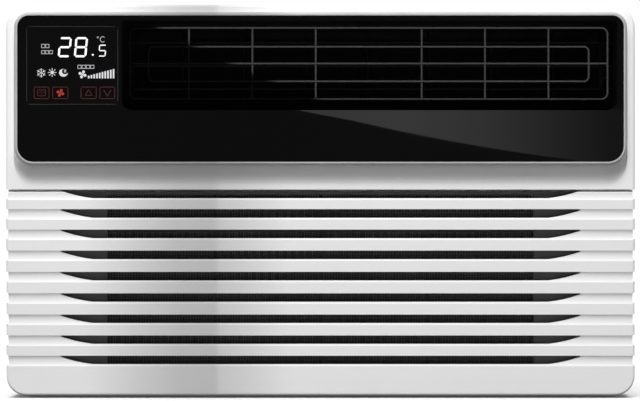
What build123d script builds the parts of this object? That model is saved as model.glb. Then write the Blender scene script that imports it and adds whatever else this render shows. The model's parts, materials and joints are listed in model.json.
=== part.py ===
"""Window air conditioner: slide-out chassis in a sleeve, ribbed intake grille, glass fascia.

Millimetres. +Z is up, the room side faces -Y, +X is to the right seen from the room.
The origin is at the middle of the footprint, on the sill.
"""

import math
import os

from build123d import *

os.makedirs("parts", exist_ok=True)

# ---------------------------------------------------------------- driving dimensions
sheet = 1.5
wall = 3.0

# Depth planes of the front, from the room inwards.
trim_face_y = -280.0
glass_face_y = -279.7
lens_face_y = -279.6
plinth_face_y = -277.5
rib_face_y = -268.0
groove_floor_y = -260.0
slab_rear_y = -258.0
door_rear_y = -248.3
ring_face_y = -247.5
lintel_rear_y = -240.0
shell_rear_y = -218.0

# Front panel and intake grille outlines.
front_half = 300.0
inset = 2.0
side_half = front_half - inset
front_bottom = 2.0
front_top = 375.0
door_top = 198.3
lip_z = 198.7
top_corner = 22.0
bottom_corner = 19.0

# Glass fascia.
glass_half = 288.0
glass_bottom = 225.0
glass_top = 364.0
glass_top_corner = 11.0
glass_bottom_corner = 15.0
trim_width = 3.4
trim_bevel = 2.0

# Display window in the glass.
lens_x = (-280.5, -192.0)
lens_z = (279.0, 354.0)

# Outlet mouth in the glass, and the narrower duct behind it.
mouth_x = (-189.0, 282.0)
mouth_z = (274.0, 360.0)
duct_x = (-180.5, 272.5)
duct_z = (281.0, 354.0)
duct_wall = 2.5
mouth_rear_y = -222.0
frame_rear_y = -186.0
mouth_centre_x = sum(mouth_x) / 2
duct_centre_x = sum(duct_x) / 2

# Intake grooves and slots.
groove_count = 9
groove_height = 10.0
hollow_depth = 1.3
slot_height = 8.3
slot_half = 248.0
slot_flat_half = 218.0
slot_tip = 1.2
taper_bow = 0.9
# The ribs stand widest a little below the middle of the grille and close up towards its ends.
widest_pitch = 20.42
widest_rib = 3.9
pitch_crowning = 0.11
groove_tops = [lip_z]
for rib in range(groove_count - 1):
    pitch = widest_pitch - pitch_crowning * (rib - widest_rib) ** 2
    groove_tops.append(groove_tops[-1] - pitch)

# Grille hinge.
hinge_y = -256.0
hinge_z = 192.0
hinge_pin_r = 2.0
hinge_bore_r = 2.08

# Sleeve.
sleeve_half = 282.0
sleeve_front_y = -216.0
sleeve_rear_y = 280.0
sleeve_top = 362.0
sleeve_inner_half = sleeve_half - sheet
sleeve_inner_top = sleeve_top - sheet

# Base pan.
pan_half = 276.0
pan_front_y = -240.0
pan_rear_y = 262.0
pan_bottom = 6.0
pan_floor = pan_bottom + sheet
pan_top = 30.0

# Fan axis, along Y.
fan_x = -55.0
fan_z = 185.0
shaft_r = 6.0

# Partition between the room side and the outdoor side.
bulkhead_y = (-62.0, -60.0)

# Coils.
evaporator_x = (-250.0, 200.0)
evaporator_y = (-233.0, -192.0)
evaporator_z = (32.0, 268.0)
condenser_x = (-262.0, 250.0)
condenser_y = (207.0, 247.0)
condenser_z = (9.0, 341.0)
tube_r = 4.76


def block(x, y, z, mode=Mode.ADD):
    """A box between a low and a high edge along each axis."""
    with Locations((sum(x) / 2, sum(y) / 2, sum(z) / 2)):
        Box(x[1] - x[0], y[1] - y[0], z[1] - z[0], mode=mode)


def rod(start, end, radius, mode=Mode.ADD):
    """A round bar, or a round hole, between two points."""
    run = Vector(*end) - Vector(*start)
    with BuildSketch(Plane(origin=start, z_dir=run)) as profile:
        Circle(radius)
    extrude(profile.sketch, amount=run.length, mode=mode)


def pipe(points, bend, radius):
    """A bent tube along a route of straight runs and round bends."""
    with BuildLine() as route:
        FilletPolyline(*points, radius=bend)
    with BuildSketch(Plane(origin=route.line @ 0, z_dir=route.line % 0)) as profile:
        Circle(radius)
    sweep(profile.sketch, path=route.line)


def front_outline(y, x, z, top_r=0.0, bottom_r=0.0):
    """A rectangle facing the room at depth y, rounded at the top and at the bottom."""
    with BuildSketch(Plane.XZ.offset(-y)) as outline:
        with Locations((sum(x) / 2, sum(z) / 2)):
            Rectangle(x[1] - x[0], z[1] - z[0])
        if top_r:
            fillet(outline.vertices().group_by(Axis.Y)[-1], top_r)
        if bottom_r:
            fillet(outline.vertices().group_by(Axis.Y)[0], bottom_r)
    return outline.sketch


def front_plate(x, z, rear_y, face_y, top_r=0.0, bottom_r=0.0, mode=Mode.ADD):
    """A plate with rounded corners between two planes that face the room."""
    extrude(front_outline(rear_y, x, z, top_r, bottom_r), amount=rear_y - face_y, mode=mode)


def both(half):
    """The span from -half to +half."""
    return (-half, half)


# ---------------------------------------------------------------- front panel
# The plinth under the glass ends below in a steep facet that sweeps out into the rib plane.
facet_drop = 8.0
facet_depth = 5.5
sweep_drop = 11.5
sweep_steps = 8
plinth_bottom = glass_bottom - trim_width
plinth_sections = [(plinth_face_y, plinth_bottom)]
for step in range(sweep_steps + 1):
    share = step / sweep_steps
    run_out = (1 - share) ** 2 * (rib_face_y - plinth_face_y - facet_depth)
    plinth_sections.append(
        (rib_face_y - run_out, plinth_bottom - facet_drop - share * sweep_drop)
    )
ear_x = (271.0, 276.0)
ear_z = (188.0, 196.0)

with BuildPart() as front_panel:
    front_plate(
        both(front_half), (lip_z, front_top), shell_rear_y, rib_face_y, top_r=top_corner
    )
    face_edges = front_panel.faces().sort_by(Axis.Y)[0].edges().sort_by(Axis.Z)[1:]
    fillet(face_edges, 2.5)
    front_plate(
        both(side_half), (front_bottom, lip_z), shell_rear_y, ring_face_y, bottom_r=bottom_corner - 2
    )
    # Plinth, lofted from the rib plane out to the glass seat.
    plinth_outlines = [
        front_outline(
            section_y,
            both(glass_half + trim_width),
            (section_z, glass_top + trim_width),
            glass_top_corner + trim_width,
            glass_bottom_corner + trim_width,
        )
        for section_y, section_z in plinth_sections
    ]
    loft(plinth_outlines, ruled=True)
    # Hollow behind the face, and the through space of the rear ring.
    front_plate(both(front_half - 13), (228, 362), -262, -274.5, mode=Mode.SUBTRACT)
    front_plate(
        both(front_half - wall), (203, front_top - wall), lintel_rear_y, -263.0, top_r=19,
        mode=Mode.SUBTRACT,
    )
    front_plate(
        both(side_half - wall), (front_bottom + wall, front_top - wall), -221, lintel_rear_y,
        top_r=17, bottom_r=17, mode=Mode.SUBTRACT,
    )
    front_plate(both(288), (front_bottom + 4, 184), lintel_rear_y, -250, bottom_r=14, mode=Mode.SUBTRACT)
    front_plate(both(283), (5.5, 363), -217, -222, mode=Mode.SUBTRACT)
    # Relief over the swinging top of the grille.
    block(both(side_half + 0.6), (rib_face_y + 2, ring_face_y), (lip_z - 1, 202.2), mode=Mode.SUBTRACT)
    # Outlet mouth and display opening.
    block(
        (mouth_x[0] - duct_wall - 0.2, mouth_x[1] + duct_wall + 0.2),
        (-285, -217),
        (mouth_z[0] - duct_wall - 0.2, mouth_z[1] + duct_wall + 0.2),
        mode=Mode.SUBTRACT,
    )
    block((-276, -196), (-285, -262), (283, 350), mode=Mode.SUBTRACT)
    # Hinge ears reach forward from the lintel into pockets of the grille.
    for side in (-1, 1):
        ear = sorted((side * ear_x[0], side * ear_x[1]))
        block(ear, (hinge_y, ring_face_y + 1), ear_z)
        rod((ear[0], hinge_y, hinge_z), (ear[1], hinge_y, hinge_z), 4.0)
        rod((ear[0] - 1, hinge_y, hinge_z), (ear[1] + 1, hinge_y, hinge_z), hinge_pin_r + 0.01,
            mode=Mode.SUBTRACT)
    # Screw holes in the bottom rail and the cord's hole in the right wall.
    for x in (-120, 120):
        rod((x, -230, 0), (x, -230, 8), 2.2, mode=Mode.SUBTRACT)
        rod((x, -230, 1), (x, -230, 4.2), 4.3, mode=Mode.SUBTRACT)
    rod((290, -232, 60), (302, -232, 60), 8.0, mode=Mode.SUBTRACT)
front_panel.part.label = "front_panel"
export_step(front_panel.part, "parts/front_panel.step")

# ---------------------------------------------------------------- glass fascia
with BuildPart() as glass_panel:
    front_plate(
        both(glass_half), (glass_bottom, glass_top), plinth_face_y, glass_face_y,
        glass_top_corner, glass_bottom_corner,
    )
    front_plate(mouth_x, mouth_z, plinth_face_y + 1, glass_face_y - 1, 4, 10, mode=Mode.SUBTRACT)
    front_plate(lens_x, lens_z, plinth_face_y + 1, glass_face_y - 1, 2, 2, mode=Mode.SUBTRACT)
glass_panel.part.label = "glass_panel"
export_step(glass_panel.part, "parts/glass_panel.step")

with BuildPart() as panel_trim:
    # Bevelled outwards, from a narrow lip round the glass.
    trim_outlines = [
        front_outline(
            section_y,
            both(glass_half + reach),
            (glass_bottom - reach, glass_top + reach),
            glass_top_corner + reach,
            glass_bottom_corner + reach,
        )
        for section_y, reach in ((plinth_face_y, trim_width), (trim_face_y, trim_width - trim_bevel))
    ]
    loft(trim_outlines, ruled=True)
    front_plate(
        both(glass_half + 0.05), (glass_bottom - 0.05, glass_top + 0.05), plinth_face_y + 1,
        trim_face_y - 1, glass_top_corner, glass_bottom_corner, mode=Mode.SUBTRACT,
    )
panel_trim.part.label = "panel_trim"
export_step(panel_trim.part, "parts/panel_trim.step")

with BuildPart() as display_window:
    front_plate(
        (lens_x[0] + 0.1, lens_x[1] - 0.1), (lens_z[0] + 0.1, lens_z[1] - 0.1),
        plinth_face_y, lens_face_y, 2, 2,
    )
display_window.part.label = "display_window"
export_step(display_window.part, "parts/display_window.step")

with BuildPart() as display_board:
    block((-282, -192.5), (-273.9, -272.3), (280, 352))
    block((-272, -200), (plinth_face_y + 0.3, -273.9), (288, 346))
    for x in (-270, -236, -204):
        block((x, x + 8), (-272.3, -268), (300, 306))
display_board.part.label = "display_board"
export_step(display_board.part, "parts/display_board.step")

# ---------------------------------------------------------------- intake grille (the ribbed door)
pocket_x = (270.4, 276.6)
with BuildPart() as intake_grille:
    front_plate(
        both(front_half), (front_bottom, door_top), groove_floor_y, rib_face_y, bottom_r=bottom_corner
    )
    rim_edges = intake_grille.faces().sort_by(Axis.Y)[0].edges().sort_by(Axis.Z)[:-1]
    fillet(rim_edges, 2.5)
    # The back of the door is set in all round, behind the edge of the ribs.
    front_plate(
        both(side_half), (front_bottom + inset, door_top), slab_rear_y, groove_floor_y,
        bottom_r=bottom_corner - inset,
    )
    front_plate(
        both(side_half), (front_bottom + inset, 189), door_rear_y, slab_rear_y,
        bottom_r=bottom_corner - inset,
    )
    front_plate(
        both(side_half - 4), (front_bottom + inset + 4, 200), door_rear_y + 1, slab_rear_y,
        bottom_r=bottom_corner - inset - 4, mode=Mode.SUBTRACT,
    )
    # Hinge bosses either side of each pocket, and the pocket for the panel's ear.
    for side in (-1, 1):
        for boss_x in ((262.0, pocket_x[0]), (pocket_x[1], 285.0)):
            block(sorted(side * x for x in boss_x), (slab_rear_y, -251), (187, 197))
        block(sorted(side * x for x in pocket_x), (-260.6, -247), (187, 196.6), mode=Mode.SUBTRACT)
        rod((side * 261, hinge_y, hinge_z), (side * 286, hinge_y, hinge_z), hinge_bore_r, mode=Mode.SUBTRACT)
    # The top front corner is cut back, so that it clears the panel's lip as the door swings.
    with BuildSketch(Plane.YZ.offset(-front_half - 1)):
        with BuildLine():
            Polyline(
                (rib_face_y - 1, lip_z),
                (rib_face_y + 4.6, lip_z),
                (rib_face_y + 0.5, lip_z - 3.5),
                (rib_face_y - 1, lip_z - 3.5),
                close=True,
            )
        make_face()
    extrude(amount=2 * front_half + 2, mode=Mode.SUBTRACT)
    # Grooves: shallow hollows between the ribs. Their ends notch the sides.
    for groove_top in groove_tops:
        with BuildSketch(Plane.YZ.offset(-front_half - 1)):
            with BuildLine():
                Polyline(
                    (rib_face_y, groove_top),
                    (rib_face_y - 1, groove_top),
                    (rib_face_y - 1, groove_top - groove_height),
                    (rib_face_y, groove_top - groove_height),
                )
                ThreePointArc(
                    (rib_face_y, groove_top - groove_height),
                    (rib_face_y + hollow_depth, groove_top - groove_height * 0.52),
                    (rib_face_y, groove_top),
                )
            make_face()
        extrude(amount=2 * front_half + 2, mode=Mode.SUBTRACT)
        for side in (-1, 1):
            block(
                sorted((side * side_half, side * (front_half + 1))),
                (rib_face_y - 1, groove_floor_y),
                (groove_top - groove_height + 1, groove_top),
                mode=Mode.SUBTRACT,
            )
        # Slot: flat on top, its lower edge rising in a shallow arc to a narrow tip at each end.
        tip_z = groove_top - slot_tip
        flat_z = groove_top - slot_height
        taper_x = (slot_flat_half + slot_half) / 2
        taper_z = (tip_z + flat_z) / 2 - taper_bow
        with BuildSketch(Plane.XZ.offset(-(slab_rear_y + 1))):
            with BuildLine():
                Polyline(
                    (-slot_half, tip_z),
                    (-slot_half, groove_top),
                    (slot_half, groove_top),
                    (slot_half, tip_z),
                )
                ThreePointArc((slot_half, tip_z), (taper_x, taper_z), (slot_flat_half, flat_z))
                Line((slot_flat_half, flat_z), (-slot_flat_half, flat_z))
                ThreePointArc((-slot_flat_half, flat_z), (-taper_x, taper_z), (-slot_half, tip_z))
            make_face()
        extrude(amount=12, mode=Mode.SUBTRACT)
intake_grille.part.label = "intake_grille"
export_step(intake_grille.part, "parts/intake_grille.step")

with BuildPart() as grille_hinge_pins:
    for side in (-1, 1):
        rod((side * 263, hinge_y, hinge_z), (side * 284, hinge_y, hinge_z), hinge_pin_r)
grille_hinge_pins.part.label = "grille_hinge_pins"
export_step(grille_hinge_pins.part, "parts/grille_hinge_pins.step")

# ---------------------------------------------------------------- air filter, clipped in the door
filter_y = (-257.9, -251.5)
filter_half = 252.0
mesh_half = 204.0
with BuildPart() as filter_frame:
    front_plate(both(filter_half), (20, 196.8), filter_y[1], filter_y[0])
    front_plate(both(mesh_half), (27, 193.5), filter_y[1] + 1, filter_y[0] - 1, mode=Mode.SUBTRACT)
    for x in (-102, 0, 102):
        block((x - 1.5, x + 1.5), (-253, filter_y[1]), (26, 194))
    for z in (60, 93, 126, 159):
        block(both(mesh_half + 1), (-253, filter_y[1]), (z - 1, z + 1))
filter_frame.part.label = "filter_frame"
export_step(filter_frame.part, "parts/filter_frame.step")

with BuildPart() as filter_mesh:
    front_plate(both(mesh_half), (27, 193.5), -253, -253.8)
filter_mesh.part.label = "filter_mesh"
export_step(filter_mesh.part, "parts/filter_mesh.step")

# ---------------------------------------------------------------- outlet frame
louver_axis_y = -243.0
louver_z = (295.0, 317.5, 340.0)
louver_pin_r = 1.5
vane_axis_y = -206.0
vane_pitch = 60.0
vane_count = 7
vane_pin_r = 1.5
running = 0.08
crank_x = 256.0
vane_x = [duct_centre_x + (index - vane_count // 2) * vane_pitch for index in range(vane_count)]

with BuildPart() as outlet_frame:
    front_plate(
        (mouth_x[0] - duct_wall, mouth_x[1] + duct_wall),
        (mouth_z[0] - duct_wall, mouth_z[1] + duct_wall),
        mouth_rear_y, plinth_face_y + 0.2, 6, 12,
    )
    front_plate(mouth_x, mouth_z, mouth_rear_y - duct_wall, -290, 4, 10, mode=Mode.SUBTRACT)
    front_plate(
        (duct_x[0] - duct_wall, duct_x[1] + duct_wall),
        (duct_z[0] - duct_wall, duct_z[1] + duct_wall),
        frame_rear_y, mouth_rear_y,
    )
    front_plate(duct_x, duct_z, frame_rear_y + 1, -230, mode=Mode.SUBTRACT)
    # Bores for the louvre pins in the side walls.
    for z in louver_z:
        rod((mouth_x[0] - 5, louver_axis_y, z), (mouth_x[1] + 5, louver_axis_y, z), louver_pin_r + running,
            mode=Mode.SUBTRACT)
    # Bores for the vane pins in the floor and the roof, and a hole for the swing motor's crank.
    for x in vane_x:
        rod((x, vane_axis_y, duct_z[0] - 5), (x, vane_axis_y, duct_z[1] + 5), vane_pin_r + running,
            mode=Mode.SUBTRACT)
    rod((crank_x, vane_axis_y, duct_z[0] - 5), (crank_x, vane_axis_y, duct_z[0] + 1), 3.0, mode=Mode.SUBTRACT)
outlet_frame.part.label = "outlet_frame"
export_step(outlet_frame.part, "parts/outlet_frame.step")

# Wire guard: two loops, a middle wire and six uprights.
wire_r = 0.9
leg_r = 0.8
guard_y = -266.0
upright_y = guard_y + 1.6
outer_loop_x = (-182.0, 274.0)
outer_loop_z = (285.0, 353.0)
inner_loop_x = (-164.0, 256.0)
inner_loop_z = (302.0, 335.0)
upright_offsets = (50.6, 111.1, 171.7)
with BuildPart() as outlet_guard:
    for span_x, span_z, corner in ((outer_loop_x, outer_loop_z, 6), (inner_loop_x, inner_loop_z, 4.5)):
        with BuildLine(Plane.XZ.offset(-guard_y)) as loop:
            FilletPolyline(
                (span_x[0], span_z[0]),
                (span_x[1], span_z[0]),
                (span_x[1], span_z[1]),
                (span_x[0], span_z[1]),
                radius=corner,
                close=True,
            )
        with BuildSketch(Plane(origin=loop.line @ 0, z_dir=loop.line % 0)):
            Circle(wire_r)
        sweep()
    rod((outer_loop_x[0], guard_y, 319), (outer_loop_x[1], guard_y, 319), wire_r)
    for offset_x in upright_offsets:
        for side in (-1, 1):
            x = duct_centre_x + side * offset_x
            rod((x, upright_y, outer_loop_z[0]), (x, upright_y, outer_loop_z[1]), wire_r)
    # Legs at each end hold the outer loop off the ledge round the duct.
    for loop_x in outer_loop_x:
        for z in (306, 329):
            rod((loop_x, guard_y, z), (loop_x, mouth_rear_y - duct_wall, z), leg_r)
outlet_guard.part.label = "outlet_guard"
export_step(outlet_guard.part, "parts/outlet_guard.step")

# ---------------------------------------------------------------- horizontal louvres
louver_x = (-178.0, 268.0)
louver_chord = 18.0
louver_thick = 2.2
link_reach = 7.0
link_pin_r = 0.9
link_x = (269.0, 272.0)
for index, z in enumerate(louver_z, start=1):
    with BuildPart() as louver:
        with BuildSketch(Plane.YZ.offset(louver_x[0])):
            with Locations((louver_axis_y, z)):
                SlotOverall(louver_chord, louver_thick)
        extrude(amount=louver_x[1] - louver_x[0])
        rod((mouth_x[0] - 2, louver_axis_y, z), (louver_x[0] + 2, louver_axis_y, z), louver_pin_r)
        rod((louver_x[1] - 2, louver_axis_y, z), (mouth_x[1] + 2, louver_axis_y, z), louver_pin_r)
        rod((louver_x[1] - 2, louver_axis_y + link_reach, z), (link_x[1] + 0.5, louver_axis_y + link_reach, z),
            link_pin_r)
    louver.part.label = f"louver_{index}"
    export_step(louver.part, f"parts/louver_{index}.step")

with BuildPart() as louver_link:
    link_y = louver_axis_y + link_reach
    block(link_x, (link_y - 3, link_y + 3), (louver_z[0] - 4, louver_z[2] + 4))
    for z in louver_z:
        rod((link_x[0] - 1, link_y, z), (link_x[1] + 1, link_y, z), link_pin_r + running, mode=Mode.SUBTRACT)
louver_link.part.label = "louver_link"
export_step(louver_link.part, "parts/louver_link.step")

# ---------------------------------------------------------------- vertical vanes
vane_chord = 34.0
vane_reach = 12.0
vane_link_z = (282.0, 284.6)
vane_z = (286.0, 352.8)
vane_link_y = vane_axis_y + vane_reach
for index, x in enumerate(vane_x, start=1):
    with BuildPart() as vane:
        with BuildSketch(Plane.XY.offset(vane_z[0])):
            with Locations((x, vane_axis_y)):
                SlotOverall(vane_chord, 2.0, rotation=90)
        extrude(amount=vane_z[1] - vane_z[0])
        rod((x, vane_axis_y, duct_z[0] - 2), (x, vane_axis_y, vane_z[0] + 3), vane_pin_r)
        rod((x, vane_axis_y, vane_z[1] - 3), (x, vane_axis_y, duct_z[1] + 2), vane_pin_r)
        rod((x, vane_axis_y, duct_z[0] + 0.4), (x, vane_axis_y, vane_z[0] + 1), 2.6)
        rod((x, vane_link_y, vane_link_z[0] - 0.3), (x, vane_link_y, vane_z[0] + 1), link_pin_r)
    vane.part.label = f"vane_{index}"
    export_step(vane.part, f"parts/vane_{index}.step")

with BuildPart() as vane_link:
    block((vane_x[0] - 5, crank_x + 5), (vane_link_y - 3, vane_link_y + 3), vane_link_z)
    for x in [*vane_x, crank_x]:
        rod((x, vane_link_y, vane_link_z[0] - 1), (x, vane_link_y, vane_link_z[1] + 1), link_pin_r + running,
            mode=Mode.SUBTRACT)
vane_link.part.label = "vane_link"
export_step(vane_link.part, "parts/vane_link.step")

with BuildPart() as swing_crank:
    rod((crank_x, vane_axis_y, 268), (crank_x, vane_axis_y, 288), 1.5)
    rod((crank_x, vane_axis_y, 281.6), (crank_x, vane_axis_y, 288), 3.5)
    block((crank_x - 2.5, crank_x + 2.5), (vane_axis_y, vane_link_y + 2.5), (285.3, 288))
    rod((crank_x, vane_link_y, vane_link_z[0] - 0.3), (crank_x, vane_link_y, 286), link_pin_r)
swing_crank.part.label = "swing_crank"
export_step(swing_crank.part, "parts/swing_crank.step")

with BuildPart() as swing_motor:
    rod((crank_x, vane_axis_y, 260), (crank_x, vane_axis_y, duct_z[0] - duct_wall), 13)
    block((crank_x - 17.5, crank_x + 17.5), (vane_axis_y - 4, vane_axis_y + 4), (276.9, duct_z[0] - duct_wall))
    block((crank_x - 8, crank_x + 8), (vane_axis_y + 8, vane_axis_y + 17), (262, 274))
    rod((crank_x, vane_axis_y, 266), (crank_x, vane_axis_y, 280), 1.5 + running, mode=Mode.SUBTRACT)
swing_motor.part.label = "swing_motor"
export_step(swing_motor.part, "parts/swing_motor.step")

# ---------------------------------------------------------------- air duct and blower housing
throat_x = (-163.0, 95.0)
air_duct_rear_y = -64.0
with BuildPart() as air_duct:
    block(
        (duct_x[0] - duct_wall, duct_x[1] + duct_wall),
        (frame_rear_y, air_duct_rear_y),
        (duct_z[0] - duct_wall, duct_z[1] + duct_wall),
    )
    block(duct_x, (frame_rear_y - 1, air_duct_rear_y - duct_wall), duct_z, mode=Mode.SUBTRACT)
    block(throat_x, (-178, -68), (270, duct_z[0] + 1), mode=Mode.SUBTRACT)
air_duct.part.label = "air_duct"
export_step(air_duct.part, "parts/air_duct.step")

housing_x = (-245.0, 150.0)
housing_z = (34.0, duct_z[0] - duct_wall)
housing_y = (-181.0, -62.0)
with BuildPart() as blower_housing:
    block(housing_x, housing_y, housing_z)
    # Scroll: a round chamber that opens upwards into the throat.
    with BuildSketch(Plane.XZ.offset(66)):
        with Locations((fan_x, fan_z)):
            Circle(108)
        with Locations((sum(throat_x) / 2, (fan_z + 300) / 2)):
            Rectangle(throat_x[1] - throat_x[0], 300 - fan_z)
    extrude(amount=130, mode=Mode.SUBTRACT)
    rod((fan_x, -70, fan_z), (fan_x, -55, fan_z), 12, mode=Mode.SUBTRACT)
blower_housing.part.label = "blower_housing"
export_step(blower_housing.part, "parts/blower_housing.step")

eye_r = 76.0
with BuildPart() as blower_orifice:
    block((housing_x[0] - 3, housing_x[1] + 3), (-183.4, housing_y[0]), (32, housing_z[1]))
    rod((fan_x, -181.5, fan_z), (fan_x, -176, fan_z), eye_r + 2.5)
    rod((fan_x, -190, fan_z), (fan_x, -170, fan_z), eye_r, mode=Mode.SUBTRACT)
blower_orifice.part.label = "blower_orifice"
export_step(blower_orifice.part, "parts/blower_orifice.step")

# ---------------------------------------------------------------- fan rotor
wheel_r = 95.0
wheel_y = (-172.0, -78.0)
wheel_blades = 40
with BuildPart() as blower_wheel:
    rod((fan_x, wheel_y[1], fan_z), (fan_x, wheel_y[1] + 2, fan_z), wheel_r)
    rod((fan_x, wheel_y[1] - 14, fan_z), (fan_x, wheel_y[1] + 2, fan_z), 13)
    with BuildSketch(Plane.XZ.offset(-wheel_y[0])):
        with Locations((fan_x, fan_z)):
            Circle(wheel_r)
            Circle(wheel_r - 13, mode=Mode.SUBTRACT)
    extrude(amount=2)
    with BuildSketch(Plane.XZ.offset(-wheel_y[1])):
        with Locations((fan_x, fan_z)):
            with PolarLocations(wheel_r - 7.5, wheel_blades):
                Rectangle(14, 1.2, rotation=32)
    extrude(amount=wheel_y[1] - wheel_y[0])
    rod((fan_x, -100, fan_z), (fan_x, -70, fan_z), shaft_r + 0.01, mode=Mode.SUBTRACT)
blower_wheel.part.label = "blower_wheel"
export_step(blower_wheel.part, "parts/blower_wheel.step")

with BuildPart() as motor_shaft:
    rod((fan_x, -96, fan_z), (fan_x, 138, fan_z), shaft_r)
motor_shaft.part.label = "motor_shaft"
export_step(motor_shaft.part, "parts/motor_shaft.step")

fan_y = 112.0
fan_hub_r = 26.0
fan_tip_r = 142.0
fan_blades = 5
with BuildPart() as condenser_fan:
    rod((fan_x, fan_y - 18, fan_z), (fan_x, fan_y + 20, fan_z), fan_hub_r)
    for index in range(fan_blades):
        angle = 360 / fan_blades * index
        radial = Vector(1, 0, 0).rotate(Axis.Y, angle)
        root_section = (fan_hub_r - 6, 46, 2.6, 46)
        middle_section = (84, 76, 2.4, 62)
        tip_section = (fan_tip_r, 88, 2.2, 70)
        for reach, chord, thick, pitch in (root_section, middle_section, tip_section):
            origin = Vector(fan_x, fan_y, fan_z) + radial * reach
            chord_dir = Vector(0, 1, 0).rotate(Axis(origin=(0, 0, 0), direction=radial), pitch)
            with BuildSketch(Plane(origin=origin, x_dir=chord_dir, z_dir=radial)):
                Rectangle(chord, thick)
        loft(ruled=True)
    # Slinger ring, which throws condensate on the coil.
    with BuildSketch(Plane.XZ.offset(-(fan_y + 14))):
        with Locations((fan_x, fan_z)):
            Circle(fan_tip_r + 3)
            Circle(fan_tip_r - 1, mode=Mode.SUBTRACT)
    extrude(amount=10)
    rod((fan_x, 80, fan_z), (fan_x, 150, fan_z), shaft_r + 0.01, mode=Mode.SUBTRACT)
condenser_fan.part.label = "condenser_fan"
export_step(condenser_fan.part, "parts/condenser_fan.step")

motor_r = 58.0
with BuildPart() as fan_motor:
    rod((fan_x, -38, fan_z), (fan_x, 56, fan_z), motor_r)
    rod((fan_x, -46, fan_z), (fan_x, 64, fan_z), 24)
    rod((fan_x, -12, fan_z), (fan_x, 30, fan_z), motor_r + 2)
    block((fan_x - 16, fan_x + 16), (-8, 26), (fan_z + motor_r, fan_z + motor_r + 16))
    rod((fan_x, -50, fan_z), (fan_x, 70, fan_z), shaft_r + running, mode=Mode.SUBTRACT)
fan_motor.part.label = "fan_motor"
export_step(fan_motor.part, "parts/fan_motor.step")

with BuildPart() as motor_bracket:
    block((fan_x - 48, fan_x + 48), (-38, 56), (pan_floor, pan_floor + 2.5))
    for y in (-32, 46):
        block((fan_x - 48, fan_x + 48), (y, y + 3), (pan_floor, fan_z - 10))
    rod((fan_x, -40, fan_z), (fan_x, 60, fan_z), motor_r + 0.02, mode=Mode.SUBTRACT)
motor_bracket.part.label = "motor_bracket"
export_step(motor_bracket.part, "parts/motor_bracket.step")

shroud_y = (150.0, 152.0)
with BuildPart() as fan_shroud:
    block((-264, 252), shroud_y, (pan_floor, 342))
    for x in ((-264, -262), (250, 252)):
        block(x, (shroud_y[0], condenser_y[0] - 2), (pan_floor, 342))
    block((-264, 252), (shroud_y[0], condenser_y[0] - 2), (340, 342))
    rod((fan_x, 120, fan_z), (fan_x, 151, fan_z), 152)
    rod((fan_x, 110, fan_z), (fan_x, 160, fan_z), 150, mode=Mode.SUBTRACT)
fan_shroud.part.label = "fan_shroud"
export_step(fan_shroud.part, "parts/fan_shroud.step")

# ---------------------------------------------------------------- coils
plate_thick = 1.5
with BuildPart() as evaporator_fins:
    block(evaporator_x, evaporator_y, evaporator_z)
evaporator_fins.part.label = "evaporator_fins"
export_step(evaporator_fins.part, "parts/evaporator_fins.step")

with BuildPart() as condenser_fins:
    block(condenser_x, condenser_y, condenser_z)
condenser_fins.part.label = "condenser_fins"
export_step(condenser_fins.part, "parts/condenser_fins.step")

with BuildPart() as coil_end_plates:
    for span_x, span_y, span_z in (
        (evaporator_x, evaporator_y, evaporator_z),
        (condenser_x, condenser_y, condenser_z),
    ):
        block((span_x[0] - plate_thick, span_x[0]), span_y, span_z)
        block((span_x[1], span_x[1] + plate_thick), span_y, span_z)
coil_end_plates.part.label = "coil_end_plates"
export_step(coil_end_plates.part, "parts/coil_end_plates.step")

bend_pitch = 25.4


def hairpin(end_x, side, row_y, low_z):
    """One bend: out of the plate, round and back in, one tube pitch higher."""
    with BuildLine(Plane.XZ.offset(-row_y)) as bend:
        FilletPolyline(
            (end_x, low_z),
            (end_x + side * 10, low_z),
            (end_x + side * 10, low_z + bend_pitch),
            (end_x, low_z + bend_pitch),
            radius=5.5,
        )
    with BuildSketch(Plane(origin=bend.line @ 0, z_dir=bend.line % 0)) as profile:
        Circle(tube_r * 0.8)
    sweep(profile.sketch, path=bend.line)


with BuildPart() as evaporator_tubes:
    for row_y in (evaporator_y[0] + 12, evaporator_y[1] - 12):
        for index in range(4):
            hairpin(evaporator_x[0] - plate_thick, -1, row_y, evaporator_z[0] + 22 + 2 * index * bend_pitch)
            hairpin(evaporator_x[1] + plate_thick, 1, row_y, evaporator_z[0] + 22 + 2 * index * bend_pitch)
evaporator_tubes.part.label = "evaporator_tubes"
export_step(evaporator_tubes.part, "parts/evaporator_tubes.step")

with BuildPart() as condenser_tubes:
    for row_y in (condenser_y[0] + 12, condenser_y[1] - 12):
        for index in range(6):
            hairpin(condenser_x[0] - plate_thick, -1, row_y, condenser_z[0] + 24 + 2 * index * bend_pitch)
            hairpin(condenser_x[1] + plate_thick, 1, row_y, condenser_z[0] + 24 + 2 * index * bend_pitch)
condenser_tubes.part.label = "condenser_tubes"
export_step(condenser_tubes.part, "parts/condenser_tubes.step")

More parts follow.
